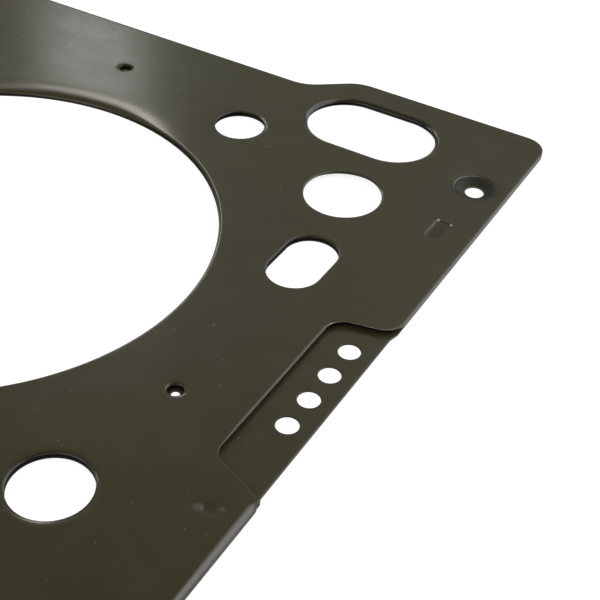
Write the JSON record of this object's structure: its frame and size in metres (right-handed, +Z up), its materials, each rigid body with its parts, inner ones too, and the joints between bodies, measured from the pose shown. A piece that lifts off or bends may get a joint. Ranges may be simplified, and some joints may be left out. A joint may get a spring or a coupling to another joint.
{
  "type": "cylinder head gasket",
  "caption": "Multi-layer steel cylinder head gasket: coated sheets with large bores, bolt holes, oil and coolant passages, and an edge window that shows thickness code holes.",
  "frame": {"origin": "middle of the rectangle of head bolts, on the underside that lies on the engine block", "axes": "+X along the row of bores towards the end with the code holes, +Y across the block towards the stepped edge, +Z up towards the cylinder head"},
  "size_m": [0.2668, 0.1678, 0.0014],
  "materials": {
    "coated_steel": "semi-gloss elastomer coating, dark olive",
    "bare_steel": "rolled sheet, dull"
  },
  "bodies": {
    "root": {"top_sheet": "coated_steel", "distance_sheet": "bare_steel", "bottom_sheet": "coated_steel"}
  },
  "joints": []
}
